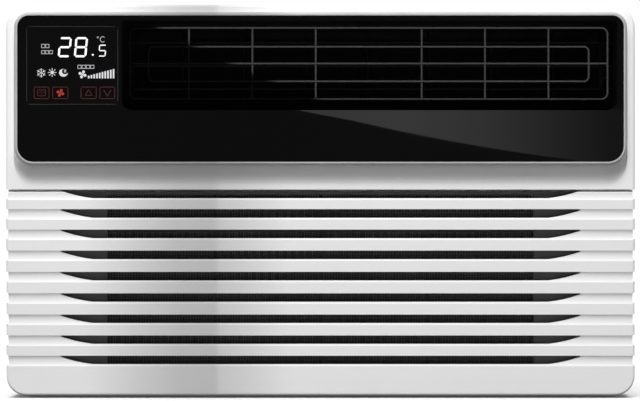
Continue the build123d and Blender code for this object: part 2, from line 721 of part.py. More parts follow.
# ---------------------------------------------------------------- compressor and its pipes
compressor_x = 190.0
compressor_y = 50.0
compressor_r = 56.0
accumulator_y = -31.0
with BuildPart() as compressor:
    rod((compressor_x, compressor_y, 40), (compressor_x, compressor_y, 250), compressor_r)
    fillet(compressor.edges().filter_by(GeomType.CIRCLE), 18)
    rod((compressor_x, compressor_y, 210), (compressor_x, compressor_y, 214), compressor_r + 1.2)
    rod((compressor_x, compressor_y, 245), (compressor_x, compressor_y, 264), 17)
    for angle in (90, 210, 330):
        foot_x = compressor_x + 64 * math.cos(math.radians(angle))
        foot_y = compressor_y + 64 * math.sin(math.radians(angle))
        rod((foot_x, foot_y, 37), (foot_x, foot_y, 40), 12)
    with BuildSketch(Plane.XY.offset(37)):
        with Locations((compressor_x, compressor_y)):
            RegularPolygon(64, 3, rotation=90)
    extrude(amount=3.2)
compressor.part.label = "compressor"
export_step(compressor.part, "parts/compressor.step")

with BuildPart() as compressor_feet:
    for angle in (90, 210, 330):
        foot_x = compressor_x + 60 * math.cos(math.radians(angle))
        foot_y = compressor_y + 60 * math.sin(math.radians(angle))
        rod((foot_x, foot_y, pan_floor), (foot_x, foot_y, 37), 10)
        rod((foot_x, foot_y, 20), (foot_x, foot_y, 24), 12)
compressor_feet.part.label = "compressor_feet"
export_step(compressor_feet.part, "parts/compressor_feet.step")

with BuildPart() as accumulator:
    rod((compressor_x, accumulator_y, 70), (compressor_x, accumulator_y, 215), 22)
    fillet(accumulator.edges().filter_by(GeomType.CIRCLE), 9)
    # Strap and bent outlet that join it to the compressor.
    strap_y = (accumulator_y + 20, compressor_y - compressor_r + 2)
    block((compressor_x - 10, compressor_x + 10), strap_y, (150, 164))
    rod((compressor_x, compressor_y, 90.1), (compressor_x, accumulator_y, 90), 4)
    rod((compressor_x, compressor_y, 30), (compressor_x, compressor_y, 260), compressor_r + 0.02,
        mode=Mode.SUBTRACT)
accumulator.part.label = "accumulator"
export_step(accumulator.part, "parts/accumulator.step")

with BuildPart() as suction_pipe:
    pipe(
        (
            (207, evaporator_y[1] + 0.5, 250),
            (207, -40, 250),
            (compressor_x, accumulator_y, 250),
            (compressor_x, accumulator_y, 215),
        ),
        8,
        6,
    )
suction_pipe.part.label = "suction_pipe"
export_step(suction_pipe.part, "parts/suction_pipe.step")

with BuildPart() as discharge_pipe:
    pipe(
        (
            (170, 30, 250),
            (170, 30, 300),
            (266, 30, 300),
            (266, 206, 300),
        ),
        14,
        4,
    )
discharge_pipe.part.label = "discharge_pipe"
export_step(discharge_pipe.part, "parts/discharge_pipe.step")

with BuildPart() as capillary_line:
    pipe(
        (
            (264, 206, 60),
            (264, -45, 60),
            (214, -45, 60),
            (214, evaporator_y[1] + 0.5, 60),
        ),
        10,
        2.5,
    )
    # Filter drier in the line.
    rod((264, 110, 60), (264, 170, 60), 8.5)
capillary_line.part.label = "capillary_line"
export_step(capillary_line.part, "parts/capillary_line.step")

# ---------------------------------------------------------------- control box
box_x = (224.0, 276.0)
box_y = (-230.0, -76.0)
box_z = (34.0, 256.0)
with BuildPart() as control_box:
    block(box_x, box_y, box_z)
    block(
        (box_x[0] + sheet, box_x[1] - sheet), (box_y[0] - 1, box_y[1] - sheet),
        (box_z[0] + sheet, box_z[1] - sheet), mode=Mode.SUBTRACT,
    )
control_box.part.label = "control_box"
export_step(control_box.part, "parts/control_box.step")

with BuildPart() as control_box_cover:
    block(box_x, (box_y[0] - sheet, box_y[0]), box_z)
    block((box_x[0] + 2, box_x[1] - 2), (box_y[0] - 0.1, box_y[0] + 8), (box_z[0] + 2, box_z[1] - 2))
    block((box_x[0] + 3.5, box_x[1] - 3.5), (box_y[0], box_y[0] + 9), (box_z[0] + 3.5, box_z[1] - 3.5),
          mode=Mode.SUBTRACT)
control_box_cover.part.label = "control_box_cover"
export_step(control_box_cover.part, "parts/control_box_cover.step")

board_x = (box_x[0] + sheet + 3, box_x[0] + sheet + 4.6)
with BuildPart() as power_board:
    block(board_x, (-215, -140), (60, 230))
    block((board_x[1], board_x[1] + 24), (-205, -170), (80, 112))
    block((board_x[1], board_x[1] + 14), (-205, -188), (130, 150))
    block((board_x[1], board_x[1] + 14), (-205, -188), (156, 176))
    for z in (140, 165, 190):
        rod((board_x[1], -155, z), (board_x[1] + 18, -155, z), 6)
    for y in (-211, -144):
        for z in (64, 226):
            rod((box_x[0] + sheet, y, z), (board_x[0], y, z), 2.5)
power_board.part.label = "power_board"
export_step(power_board.part, "parts/power_board.step")

with BuildPart() as run_capacitor:
    rod((250, -105, box_z[0] + sheet), (250, -105, 120), 20)
    for y in (-112, -98):
        block((247, 253), (y - 0.4, y + 0.4), (120, 130))
run_capacitor.part.label = "run_capacitor"
export_step(run_capacitor.part, "parts/run_capacitor.step")

# ---------------------------------------------------------------- chassis structure
with BuildPart() as base_pan:
    block(both(pan_half), (pan_front_y, pan_rear_y), (pan_bottom, pan_top))
    block(
        both(pan_half - sheet), (pan_front_y + sheet, pan_rear_y - sheet), (pan_floor, pan_top + 1),
        mode=Mode.SUBTRACT,
    )
    for side in (-1, 1):
        block(sorted((side * 185, side * 215)), (-205, 255), (2, pan_bottom))
    for x in (-120, 120):
        rod((x, -230, 0), (x, -230, 12), 2.0, mode=Mode.SUBTRACT)
    rod((-230, 255, 16), (-230, 270, 16), 6.0, mode=Mode.SUBTRACT)
base_pan.part.label = "base_pan"
export_step(base_pan.part, "parts/base_pan.step")

with BuildPart() as bulkhead:
    block(both(pan_half - sheet), bulkhead_y, (pan_floor, 356))
    block(both(pan_half - sheet), (bulkhead_y[1], -50), (pan_floor, pan_floor + 2))
    rod((fan_x, -70, fan_z), (fan_x, -55, fan_z), 12, mode=Mode.SUBTRACT)
    rod((207, -70, 250), (207, -55, 250), 7, mode=Mode.SUBTRACT)
    rod((214, -70, 60), (214, -55, 60), 3.5, mode=Mode.SUBTRACT)
bulkhead.part.label = "bulkhead"
export_step(bulkhead.part, "parts/bulkhead.step")

spigot_r = 7.0
with BuildPart() as drain_fitting:
    rod((-230, pan_rear_y, 16), (-230, pan_rear_y + 3, 16), 9)
    rod((-230, pan_rear_y - sheet, 16), (-230, pan_rear_y, 16), 5.9)
    rod((-230, pan_rear_y + 3, 16), (-230, pan_rear_y + 15, 16), spigot_r)
    rod((-230, 250, 16), (-230, 290, 16), 4.5, mode=Mode.SUBTRACT)
drain_fitting.part.label = "drain_fitting"
export_step(drain_fitting.part, "parts/drain_fitting.step")

gland_r = 4.2
with BuildPart() as cord_gland:
    rod((side_half, -232, 60), (side_half + 1.8, -232, 60), 11)
    rod((288, -232, 60), (side_half, -232, 60), 7.9)
    rod((280, -232, 60), (305, -232, 60), gland_r, mode=Mode.SUBTRACT)
cord_gland.part.label = "cord_gland"
export_step(cord_gland.part, "parts/cord_gland.step")

with BuildPart() as panel_screws:
    for x in (-120, 120):
        rod((x, -230, 2.2), (x, -230, 4.2), 4.0)
        rod((x, -230, 4.2), (x, -230, 14), 1.98)
panel_screws.part.label = "panel_screws"
export_step(panel_screws.part, "parts/panel_screws.step")

# Rear guard over the condenser: a pressed frame with bars.
guard_low = 26.0
guard_high = 345.0
guard_depth = (pan_rear_y, pan_rear_y + 2.5)
with BuildPart() as rear_guard:
    front_plate(both(pan_half), (guard_low, guard_high), guard_depth[1], guard_depth[0], 8, 8)
    front_plate(
        both(pan_half - 14), (guard_low + 14, guard_high - 14), guard_depth[1] + 1, guard_depth[0] - 1, 6, 6,
        mode=Mode.SUBTRACT,
    )
    for index in range(17):
        z = guard_low + 14 + (index + 1) * 16.1
        rod((-pan_half + 10, pan_rear_y + 1.25, z), (pan_half - 10, pan_rear_y + 1.25, z), 1.2)
    for x in (-156, -52, 52, 156):
        block((x - 4, x + 4), guard_depth, (guard_low + 10, guard_high - 10))
    for x in (-268, 268):
        block((x - 4, x + 4), (condenser_y[1] + 2, pan_rear_y), (260, 300))
rear_guard.part.label = "rear_guard"
export_step(rear_guard.part, "parts/rear_guard.step")

# ---------------------------------------------------------------- sleeve
louvre_pitch = 16.0
louvre_slot = 5.0
louvre_hood = 4.5
louvre_rows = 15
louvre_columns_y = ((92.0, 160.0), (172.0, 240.0))
sill_hole_r = 3.2
sill_spacing_x = 440.0
sill_spacing_y = 300.0
screw_hole_r = 1.55
screw_spots = [(y, z) for y in (-200, 20, 270) for z in (16, 348)]

with BuildPart() as case_floor:
    block(both(sleeve_half), (sleeve_front_y, sleeve_rear_y), (0, sheet))
    with Locations((0, 0, sheet)):
        with GridLocations(sill_spacing_x, sill_spacing_y, 2, 2):
            Hole(sill_hole_r)
    # Drain slots at the rear.
    for x in (-90, 0, 90):
        block((x - 14, x + 14), (262, 268), (-1, sheet + 1), mode=Mode.SUBTRACT)
case_floor.part.label = "case_floor"
export_step(case_floor.part, "parts/case_floor.step")

for side, label in ((-1, "case_left"), (1, "case_right")):
    with BuildPart() as case_side:
        block(
            sorted((side * sleeve_inner_half, side * sleeve_half)),
            (sleeve_front_y, sleeve_rear_y), (sheet, sleeve_inner_top),
        )
        for column_y in louvre_columns_y:
            for row in range(louvre_rows):
                z = 70 + row * louvre_pitch
                block(
                    sorted((side * (sleeve_inner_half - 1), side * (sleeve_half + 1))), column_y,
                    (z, z + louvre_slot), mode=Mode.SUBTRACT,
                )
                # Pressed hood over the slot: hangs out from its upper edge.
                with BuildSketch(Plane.XZ.offset(-column_y[1])):
                    with BuildLine():
                        Polyline(
                            (side * sleeve_inner_half, z + louvre_slot),
                            (side * sleeve_half, z + louvre_slot + 1.6),
                            (side * (sleeve_half + louvre_hood), z + 0.8),
                            (side * (sleeve_half + louvre_hood - 1.2), z + 0.2),
                            (side * sleeve_half, z + louvre_slot - 0.6),
                            close=True,
                        )
                    make_face()
                extrude(amount=column_y[1] - column_y[0])
        for y, z in screw_spots:
            rod((side * (sleeve_inner_half - 1), y, z), (side * (sleeve_half + 1), y, z), screw_hole_r,
                mode=Mode.SUBTRACT)
    case_side.part.label = label
    export_step(case_side.part, f"parts/{label}.step")

top_slot_columns_x = (-180.0, -60.0, 60.0, 180.0)
rail_hole_r = 2.6
rail_spacing = 400.0
with BuildPart() as case_top:
    block(both(sleeve_half), (sleeve_front_y, sleeve_rear_y), (sleeve_inner_top, sleeve_top))
    for x in top_slot_columns_x:
        for row in range(8):
            y = 100 + row * 18
            block((x - 45, x + 45), (y, y + 6), (sleeve_inner_top - 1, sleeve_top + 1), mode=Mode.SUBTRACT)
            with BuildSketch(Plane.YZ.offset(x - 45)):
                with BuildLine():
                    Polyline(
                        (y, sleeve_inner_top),
                        (y - 1.6, sleeve_top),
                        (y + 4.6, sleeve_top + louvre_hood),
                        (y + 5.4, sleeve_top + louvre_hood - 1.2),
                        (y + 0.8, sleeve_top),
                        close=True,
                    )
                make_face()
            extrude(amount=90)
    for x in (-rail_spacing / 2, rail_spacing / 2):
        rod((x, -190, sleeve_inner_top - 1), (x, -190, sleeve_top + 1), rail_hole_r, mode=Mode.SUBTRACT)
case_top.part.label = "case_top"
export_step(case_top.part, "parts/case_top.step")

with BuildPart() as cabinet_screws:
    for side in (-1, 1):
        for y, z in screw_spots:
            rod((side * sleeve_half, y, z), (side * (sleeve_half + 2.2), y, z), 4.2)
            rod((side * (sleeve_inner_half - 0.8), y, z), (side * sleeve_half, y, z), screw_hole_r - 0.02)
cabinet_screws.part.label = "cabinet_screws"
export_step(cabinet_screws.part, "parts/cabinet_screws.step")
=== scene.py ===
"""Window air conditioner: looks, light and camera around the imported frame. Metres, +Z up, front to -Y."""

import json
import math

import bmesh
import bpy
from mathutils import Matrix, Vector


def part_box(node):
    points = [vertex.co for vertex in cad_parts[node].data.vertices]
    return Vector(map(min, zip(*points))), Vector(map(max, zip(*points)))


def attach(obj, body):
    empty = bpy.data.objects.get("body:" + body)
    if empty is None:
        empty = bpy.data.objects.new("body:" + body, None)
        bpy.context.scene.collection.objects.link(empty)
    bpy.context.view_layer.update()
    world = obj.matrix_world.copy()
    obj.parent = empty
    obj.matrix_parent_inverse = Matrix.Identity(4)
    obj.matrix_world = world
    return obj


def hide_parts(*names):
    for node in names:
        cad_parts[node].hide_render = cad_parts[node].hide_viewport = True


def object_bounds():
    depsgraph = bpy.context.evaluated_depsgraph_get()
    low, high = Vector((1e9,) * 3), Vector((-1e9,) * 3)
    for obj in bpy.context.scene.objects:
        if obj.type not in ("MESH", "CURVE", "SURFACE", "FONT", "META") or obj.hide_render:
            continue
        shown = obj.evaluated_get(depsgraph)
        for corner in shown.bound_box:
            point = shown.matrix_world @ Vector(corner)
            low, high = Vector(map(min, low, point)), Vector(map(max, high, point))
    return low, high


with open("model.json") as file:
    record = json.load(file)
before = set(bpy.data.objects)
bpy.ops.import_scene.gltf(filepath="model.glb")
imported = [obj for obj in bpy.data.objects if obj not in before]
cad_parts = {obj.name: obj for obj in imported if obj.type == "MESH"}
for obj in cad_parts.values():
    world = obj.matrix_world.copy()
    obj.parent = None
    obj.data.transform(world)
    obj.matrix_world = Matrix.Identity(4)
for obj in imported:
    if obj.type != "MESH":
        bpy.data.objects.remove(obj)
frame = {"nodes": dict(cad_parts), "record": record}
cad_low, cad_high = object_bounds()
nodes = frame["nodes"]
mm = 0.001

# ---------------------------------------------------------------- camera
# A long lens straight ahead of the front. The picture is a little wider than the object.
focal = 150.0
sensor = 36.0
picture_share = 1.0177
shown_width = (cad_high.x - cad_low.x) * picture_share
front_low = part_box("intake_grille")[0]
front_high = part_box("front_panel")[1]
view_distance = shown_width * focal / sensor
camera_data = bpy.data.cameras.new("camera")
camera_data.lens = focal
camera_data.sensor_width = sensor
camera_data.clip_end = 100
camera = bpy.data.objects.new("camera", camera_data)
camera.location = (-0.5 * mm, front_low.y - view_distance, (front_low.z + front_high.z) / 2 - 0.3 * mm)
camera.rotation_euler = (math.radians(90), 0, 0)
bpy.context.scene.collection.objects.link(camera)
bpy.context.scene.camera = camera
eye = camera.location


# ---------------------------------------------------------------- material helpers
class Paint:
    """A Principled material built up from procedural layers in object space."""

    def __init__(self, name, color, roughness, metallic=0.0, coat=0.0, specular=0.5):
        self.material = bpy.data.materials.new(name)
        self.material.use_nodes = True
        self.tree = self.material.node_tree
        self.shader = self.tree.nodes["Principled BSDF"]
        self.shader.inputs["Base Color"].default_value = (*color, 1)
        self.shader.inputs["Roughness"].default_value = roughness
        self.shader.inputs["Metallic"].default_value = metallic
        self.shader.inputs["Coat Weight"].default_value = coat
        self.shader.inputs["Coat Roughness"].default_value = 0.08
        self.shader.inputs["Specular IOR Level"].default_value = specular
        self.place = self.tree.nodes.new("ShaderNodeTexCoord").outputs["Object"]
        self.color = color
        self.roughness = roughness
        self.normal = None

    def stretched(self, scale):
        """Object coordinates stretched along an axis, for brushing and drawn marks."""
        mapping = self.tree.nodes.new("ShaderNodeMapping")
        mapping.inputs["Scale"].default_value = scale
        self.tree.links.new(self.place, mapping.inputs["Vector"])
        return mapping.outputs["Vector"]

    def noise(self, scale, detail=3.0, place=None):
        texture = self.tree.nodes.new("ShaderNodeTexNoise")
        texture.inputs["Scale"].default_value = scale
        texture.inputs["Detail"].default_value = detail
        self.tree.links.new(place or self.place, texture.inputs["Vector"])
        return texture.outputs["Fac"]

    def cells(self, scale, feature="F1", output="Distance"):
        texture = self.tree.nodes.new("ShaderNodeTexVoronoi")
        texture.feature = feature
        texture.inputs["Scale"].default_value = scale
        self.tree.links.new(self.place, texture.inputs["Vector"])
        return texture.outputs[output]

    def ramp(self, value, low, high, start=0.3, end=0.7):
        """value mapped onto low..high, as a number or as a colour."""
        node = self.tree.nodes.new("ShaderNodeValToRGB")
        node.color_ramp.elements[0].position = start
        node.color_ramp.elements[1].position = end
        if not hasattr(low, "__len__"):
            low, high = (low,) * 3, (high,) * 3
        node.color_ramp.elements[0].color = (*low, 1)
        node.color_ramp.elements[1].color = (*high, 1)
        self.tree.links.new(value, node.inputs["Fac"])
        return node.outputs["Color"]

    def mottle(self, value, spread, start=0.3, end=0.7):
        """Base colour drifts either side of its mean with value."""
        low = tuple(c * (1 - spread) for c in self.color)
        high = tuple(min(1.0, c * (1 + spread)) for c in self.color)
        return self.two_tone(value, low, high, start, end)

    def two_tone(self, value, low, high, start, end):
        """Base colour runs from low to high with value."""
        self.tree.links.new(self.ramp(value, low, high, start, end), self.shader.inputs["Base Color"])
        return self

    def wear(self, value, spread, start=0.3, end=0.7):
        """Roughness drifts either side of its mean with value."""
        low = max(0.004, self.roughness - spread)
        high = min(1.0, self.roughness + spread)
        self.tree.links.new(self.ramp(value, low, high, start, end), self.shader.inputs["Roughness"])
        return self

    def bump(self, value, strength, distance):
        """A fine relief on top of any earlier one."""
        node = self.tree.nodes.new("ShaderNodeBump")
        node.inputs["Strength"].default_value = strength
        node.inputs["Distance"].default_value = distance
        self.tree.links.new(value, node.inputs["Height"])
        if self.normal:
            self.tree.links.new(self.normal, node.inputs["Normal"])
        self.normal = node.outputs["Normal"]
        self.tree.links.new(self.normal, self.shader.inputs["Normal"])
        return self


def moulded(name, color, roughness, coat=0.0, grain=0.12, specular=0.5):
    """Injection-moulded plastic: faint flow marks and a fine spark-eroded grain."""
    paint = Paint(name, color, roughness, coat=coat, specular=specular)
    paint.mottle(paint.noise(6), 0.015)
    paint.wear(paint.noise(14), 0.04)
    paint.bump(paint.noise(900, 2), grain, 0.05 * mm)
    return paint.material


def coated_sheet(name, color, roughness=0.45):
    """Powder coat with its orange peel."""
    paint = Paint(name, color, roughness)
    paint.mottle(paint.noise(5), 0.02)
    paint.wear(paint.noise(30), 0.05)
    paint.bump(paint.noise(260, 2), 0.25, 0.12 * mm)
    return paint.material


def galvanised(name, color):
    """Hot-dip zinc with its spangle."""
    paint = Paint(name, color, 0.42, metallic=0.85)
    paint.two_tone(paint.cells(95, output="Color"), tuple(c * 0.8 for c in color), tuple(color), 0.2, 0.9)
    paint.wear(paint.cells(95, output="Color"), 0.1)
    paint.bump(paint.noise(40), 0.15, 0.1 * mm)
    return paint.material


def bare_metal(name, color, roughness, stretch=(1, 1, 1), scale=180, metallic=1.0):
    """Drawn, rolled or turned metal with fine directional marks."""
    paint = Paint(name, color, roughness, metallic=metallic)
    marks = paint.noise(scale, 4, paint.stretched(stretch))
    paint.mottle(paint.noise(20), 0.08)
    paint.wear(marks, 0.1)
    paint.bump(marks, 0.12, 0.05 * mm)
    return paint.material


def foam(name, color):
    """Expanded bead foam: pressed cells with fine lines between them."""
    paint = Paint(name, color, 0.9)
    paint.mottle(paint.cells(260), 0.04, 0.1, 0.6)
    paint.bump(paint.cells(260, "DISTANCE_TO_EDGE"), 0.5, 0.3 * mm)
    return paint.material


def polished_glass(name, color):
    """Back-painted glass: deep colour under a clean face, with the faintest polish haze."""
    paint = Paint(name, color, 0.012)
    paint.mottle(paint.noise(3), 0.05)
    paint.wear(paint.noise(9), 0.006)
    return paint.material


def rubbery(name, color):
    """Dull rubber with a dusty unevenness."""
    paint = Paint(name, color, 0.75)
    paint.mottle(paint.noise(60), 0.15)
    paint.bump(paint.noise(700, 2), 0.3, 0.08 * mm)
    return paint.material


def board(name, color):
    """Solder mask with copper tracks showing faintly under it."""
    paint = Paint(name, color, 0.35, coat=0.3)
    tracks = paint.noise(240, 1, paint.stretched((1, 1, 0.2)))
    paint.two_tone(tracks, color, tuple(min(1, c * 1.8) for c in color), 0.52, 0.56)
    paint.bump(tracks, 0.2, 0.05 * mm)
    return paint.material


def enamel(name, color):
    """Glossy machine paint with faint runs."""
    paint = Paint(name, color, 0.3, coat=0.2)
    paint.mottle(paint.noise(12), 0.12)
    paint.wear(paint.noise(25), 0.08)
    paint.bump(paint.noise(120, 2), 0.15, 0.1 * mm)
    return paint.material


def lit(name, color, strength):
    """A lit segment: a diffused light with slightly uneven brightness."""
    paint = Paint(name, color, 0.4)
    paint.mottle(paint.noise(500), 0.06)
    paint.shader.inputs["Emission Color"].default_value = (*color, 1)
    paint.shader.inputs["Emission Strength"].default_value = strength
    return paint.material


# One finish for each material slot of the frame.
finishes = {
    "white_plastic": moulded("white_abs", (0.8, 0.8, 0.8), 0.32, coat=0.15),
    "black_glass": polished_glass("fascia_glass", (0.0084, 0.0084, 0.0085)),
    "lens": polished_glass("smoked_lens", (0.0088, 0.0088, 0.009)),
    "trim_metal": bare_metal("satin_trim", (0.45, 0.45, 0.45), 0.5, (1, 1, 1), 60, metallic=0.08),
    "circuit_board": board("solder_mask", (0.012, 0.09, 0.03)),
    "pin_steel": bare_metal("turned_steel", (0.55, 0.55, 0.56), 0.3, (60, 1, 1), 40),
    "filter_plastic": moulded("filter_abs", (0.045, 0.045, 0.047), 0.5),
    "filter_net": moulded("filter_nylon", (0.008, 0.008, 0.008), 0.6),
    "black_plastic": moulded("outlet_abs", (0.003, 0.003, 0.0031), 0.6, specular=0.1),
    "guard_wire": moulded("wire_coat", (0.004, 0.004, 0.004), 0.5, grain=0.3, specular=0.05),
    "vane_plastic": moulded("vane_abs", (0.003, 0.003, 0.0031), 0.6, specular=0.1),
    "motor_metal": enamel("motor_paint", (0.05, 0.05, 0.055)),
    "foam": foam("bead_foam", (0.03, 0.03, 0.031)),
    "sheet_white": coated_sheet("powder_coat", (0.74, 0.74, 0.73)),
    "sheet_zinc": galvanised("zinc_sheet", (0.62, 0.63, 0.65)),
    "fin_aluminium": bare_metal("fin_stock", (0.72, 0.73, 0.75), 0.35, (1, 1, 12), 120),
    "copper": bare_metal("copper_tube", (0.75, 0.34, 0.2), 0.28, (1, 1, 1), 90),
    "compressor_black": enamel("compressor_enamel", (0.012, 0.012, 0.013)),
    "rubber": rubbery("black_rubber", (0.015, 0.015, 0.015)),
    "fan_plastic": moulded("fan_plastic", (0.03, 0.032, 0.035), 0.45, grain=0.3),
    "capacitor_can": bare_metal("drawn_can", (0.7, 0.7, 0.71), 0.3, (1, 1, 30), 60),
}
slot_of = {part["node"]: part["material_slot"] for part in frame["record"]["subparts"]}
for name, node in nodes.items():
    node.data.materials.clear()
    node.data.materials.append(finishes[slot_of[name]])
    for polygon in node.data.polygons:
        polygon.material_index = 0


# ---------------------------------------------------------------- mesh helpers
def piece(name, mesh_maker, body, slot, material=None, replaces=()):
    """A new mesh object made by mesh_maker(bmesh), riding on a body."""
    mesh = bpy.data.meshes.new(name)
    maker = bmesh.new()
    mesh_maker(maker)
    bmesh.ops.recalc_face_normals(maker, faces=maker.faces)
    maker.to_mesh(mesh)
    maker.free()
    shape = bpy.data.objects.new(name, mesh)
    bpy.context.scene.collection.objects.link(shape)
    mesh.materials.append(material or finishes[slot])
    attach(shape, body)
    if replaces:
        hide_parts(*replaces)
    return shape


def add_box(maker, low, high):
    """A box between two opposite corners."""
    xs, ys, zs = zip(low, high)
    corners = [maker.verts.new((x, y, z)) for x in xs for y in ys for z in zs]
    for quad in ((0, 1, 3, 2), (4, 6, 7, 5), (0, 4, 5, 1), (2, 3, 7, 6), (0, 2, 6, 4), (1, 5, 7, 3)):
        maker.faces.new([corners[i] for i in quad])


def add_prism(maker, outline, front_y, rear_y):
    """A flat shape facing the room, from its outline in x and z."""
    front = [maker.verts.new((x, front_y, z)) for x, z in outline]
    rear = [maker.verts.new((x, rear_y, z)) for x, z in outline]
    maker.faces.new(front)
    maker.faces.new(rear[::-1])
    count = len(outline)
    for i in range(count):
        j = (i + 1) % count
        maker.faces.new((front[i], rear[i], rear[j], front[j]))


def add_tube(maker, start, end, radius, sides=12):
    """A closed cylinder from start to end."""
    start, end = Vector(start), Vector(end)
    turn = (end - start).to_track_quat("Z", "Y").to_matrix()
    rings = []
    for centre in (start, end):
        rings.append([
            maker.verts.new(centre + turn @ Vector((radius * math.cos(a), radius * math.sin(a), 0)))
            for a in (math.tau * i / sides for i in range(sides))
        ])
    for i in range(sides):
        j = (i + 1) % sides
        maker.faces.new((rings[0][i], rings[0][j], rings[1][j], rings[1][i]))
    maker.faces.new(rings[0][::-1])
    maker.faces.new(rings[1])


# ---------------------------------------------------------------- display graphics
lens_low, lens_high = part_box("display_window")
ink_rear_y = lens_low.y
ink_front_y = lens_low.y - 0.06 * mm
ink_left = lens_low.x + 0.85 * mm
ink_width = (lens_high.x - ink_left) / mm
ink_height = (lens_high.z - lens_low.z) / mm


def on_lens(x, z):
    """A place on the display window, in millimetres from the graphics' lower left corner."""
    return (ink_left + x * mm, lens_low.z + z * mm)


def turned(angle):
    """A step of one millimetre in the direction of an angle in radians."""
    return Vector((math.cos(angle), math.sin(angle)))


def add_ink(maker, outline):
    """A filled shape on the window, from its outline in millimetres."""
    add_prism(maker, [on_lens(*point) for point in outline], ink_front_y, ink_rear_y)


def add_stroke(maker, points, width, closed=False):
    """A line of constant width as quads that run past the corners to join up."""
    overrun = 0.9
    points = [Vector(p) for p in points]
    if closed:
        points = [*points, points[0]]
    for a, b in zip(points, points[1:]):
        along = (b - a).normalized() * width / 2
        across = Vector((-along.y, along.x))
        a, b = a - along * overrun, b + along * overrun
        add_ink(maker, [a + across, b + across, b - across, a - across])


def arc_points(centre, reach_x, reach_z, first, last, steps):
    """Points along an arc, from one angle to another in degrees."""
    angles = [math.radians(first + (last - first) * i / steps) for i in range(steps + 1)]
    return [(centre[0] + reach_x * math.cos(a), centre[1] + reach_z * math.sin(a)) for a in angles]


def add_dot(maker, centre, radius, sides=20):
    centre = Vector(centre)
    add_ink(maker, [centre + turned(math.tau * i / sides) * radius for i in range(sides)])


def rounded_frame(left, low, width, height, corner, steps):
    """Corner arcs of an upright frame, from the upper right corner round to the lower right one."""
    right, top = left + width, low + height
    points = []
    for x, z, first in (
        (right - corner, top - corner, 0),
        (left + corner, top - corner, 90),
        (left + corner, low + corner, 180),
        (right - corner, low + corner, 270),
    ):
        points += arc_points((x, z), corner, corner, first, first + 90, steps)
    return points


# Segments of a digit: top, upper left, upper right, middle, lower left, lower right, bottom.
segment_sets = {"2": "TRMlB", "8": "TLRMlrB", "5": "TLMrB"}
digit_lean = 0.09


def add_digit(maker, figure, left, low, width, height, stroke):
    """A seven-segment digit with pointed bars and a slight lean."""
    half = height / 2
    gap = stroke * 0.12
    bars = {
        "T": ((0, height), (width, height)),
        "M": ((0, half), (width, half)),
        "B": ((0, 0), (width, 0)),
        "L": ((0, half), (0, height)),
        "R": ((width, half), (width, height)),
        "l": ((0, 0), (0, half)),
        "r": ((width, 0), (width, half)),
    }
    for key in segment_sets[figure]:
        a, b = (Vector(p) for p in bars[key])
        along = (b - a).normalized()
        across = Vector((-along.y, along.x)) * stroke / 2
        a, b = a + along * gap, b - along * gap
        tip = along * stroke / 2
        corners = [a, a + tip + across, b - tip + across, b, b - tip - across, a + tip - across]
        add_ink(maker, [(left + c.x + digit_lean * c.y, low + c.y) for c in corners])


def draw_numbers(maker):
    """The temperature: two tall digits, the point and a small digit."""
    for figure, left in (("2", 30.9), ("8", 46.2)):
        add_digit(maker, figure, left, low=46.1, width=10.0, height=17.2, stroke=1.9)
    add_dot(maker, (63.3, 47.5), 0.9)
    add_digit(maker, "5", 68.9, low=46.3, width=6.0, height=10.3, stroke=1.0)


def add_block_row(maker, left, low, count, width, height):
    """Small open boxes in a row: plain lamps where a word would stand."""
    stroke = 0.5
    for index in range(count):
        start = left + index * (width + stroke * 1.7)
        end, top = start + width, low + height
        add_stroke(maker, [(start, low), (end, low), (end, top), (start, top)], stroke, closed=True)


def draw_small_lamps(maker):
    """Degree sign and unit, and the rows of plain lamps."""
    degree_ring = arc_points((68.0, 64.1), 0.7, 0.7, 0, 330, 11)
    unit_bow = arc_points((72.7, 62.1), 2.3, 2.6, 50, 310, 10)
    add_stroke(maker, degree_ring, 0.35, closed=True)
    add_stroke(maker, unit_bow, 0.55)
    add_block_row(maker, 14.6, 54.2, count=2, width=3.1, height=3.2)
    add_block_row(maker, 14.6, 48.5, count=3, width=2.9, height=3.0)
    add_block_row(maker, 49.0, 34.5, count=4, width=3.2, height=3.1)


def add_snowflake(maker, centre):
    """Six arms, each with a pair of barbs."""
    for arm in range(6):
        turn = math.radians(60 * arm + 30)
        out = turned(turn)
        fork = centre + out * 2.4
        add_stroke(maker, [centre + out * 0.6, centre + out * 4.2], 0.5)
        for side in (-1, 1):
            add_stroke(maker, [fork, fork + turned(turn + side * 0.9) * 1.6], 0.4)


def add_sun(maker, centre):
    """A disc with eight rays."""
    add_dot(maker, centre, 1.6)
    for ray in range(8):
        out = turned(math.tau * ray / 8)
        add_stroke(maker, [centre + out * 2.4, centre + out * 3.8], 0.6)


def add_moon(maker, centre):
    """A crescent open to the upper right, with a small zigzag in its bay."""
    rim = arc_points(centre, 4.2, 3.7, 85, 350, 16)
    bay = arc_points(centre + Vector((1.5, 1.3)), 3.0, 2.7, 330, 105, 12)
    add_ink(maker, rim + bay)
    zigzag = ((0.6, 2.6), (2.4, 2.6), (0.8, 0.8), (2.6, 0.8))
    add_stroke(maker, [centre + Vector(p) for p in zigzag], 0.45)


def add_fan_mark(maker, centre, reach):
    """Four swept blades round a hub."""
    add_dot(maker, centre, reach * 0.17)
    for blade in range(4):
        turn = math.tau * blade / 4 + 0.5
        lobe = [centre + turned(turn) * reach * 0.24]
        for step in range(9):
            share = step / 8
            radius = reach * (0.3 + 0.7 * math.sin(math.pi * share) ** 0.45)
            lobe.append(centre + turned(turn + 0.05 + 1.3 * share) * radius)
        add_ink(maker, lobe)


def add_speed_bars(maker, left, low):
    """Ten bars that rise with the fan's speed."""
    pitch, width = 2.62, 1.55
    first_height, rise = 2.5, 0.7
    for bar in range(10):
        start = left + bar * pitch
        end, top = start + width, low + first_height + bar * rise
        add_ink(maker, [(start, low), (end, low), (end, top), (start, top)])


